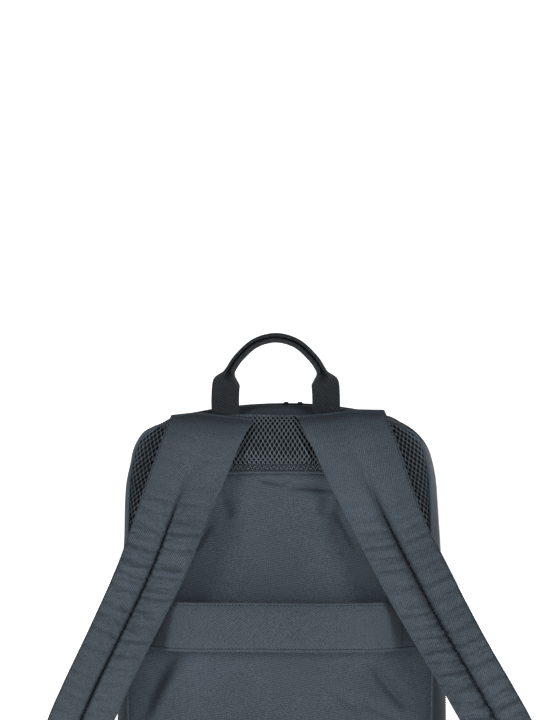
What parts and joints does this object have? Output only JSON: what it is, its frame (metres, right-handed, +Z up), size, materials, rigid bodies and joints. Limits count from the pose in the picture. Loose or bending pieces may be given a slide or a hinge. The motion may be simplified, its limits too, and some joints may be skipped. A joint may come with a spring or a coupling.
{
  "type": "laptop backpack",
  "caption": "Soft upright laptop backpack with padded shoulder straps, an air-mesh back, a webbing carry handle, a zip round the gusset and a band that slips over a trolley handle.",
  "frame": {"origin": "middle of the flat underside of the base, which stands on the floor", "axes": "+Z up the bag, -Y out of the back panel towards the wearer, +X to the right as seen facing the back panel"},
  "size_m": [0.4596, 0.1995, 0.5203],
  "materials": {
    "nylon": "matt woven nylon, slate",
    "padded_nylon": "matt woven nylon over foam, slate",
    "air_mesh": "knitted air mesh, dark slate",
    "webbing": "ribbed woven webbing, dark slate",
    "band_cloth": "doubled woven nylon, slate",
    "plastic": "moulded, near black"
  },
  "bodies": {
    "root": {"back_mesh_panel": "air_mesh", "back_lower_panel": "nylon", "hem_tape": "webbing", "gusset_back": "nylon", "gusset_front": "nylon", "main_zip": "plastic", "zip_pull_left": "plastic", "zip_pull_right": "plastic", "base_panel": "nylon", "front_panel": "nylon", "shoulder_strap_left": "padded_nylon", "shoulder_strap_right": "padded_nylon", "trolley_band": "band_cloth", "carry_handle": "webbing", "ladder_lock_left": "plastic", "ladder_lock_right": "plastic", "adjuster_tab_left": "webbing", "adjuster_tab_right": "webbing", "lower_webbing_left": "webbing", "lower_webbing_right": "webbing"}
  },
  "joints": []
}
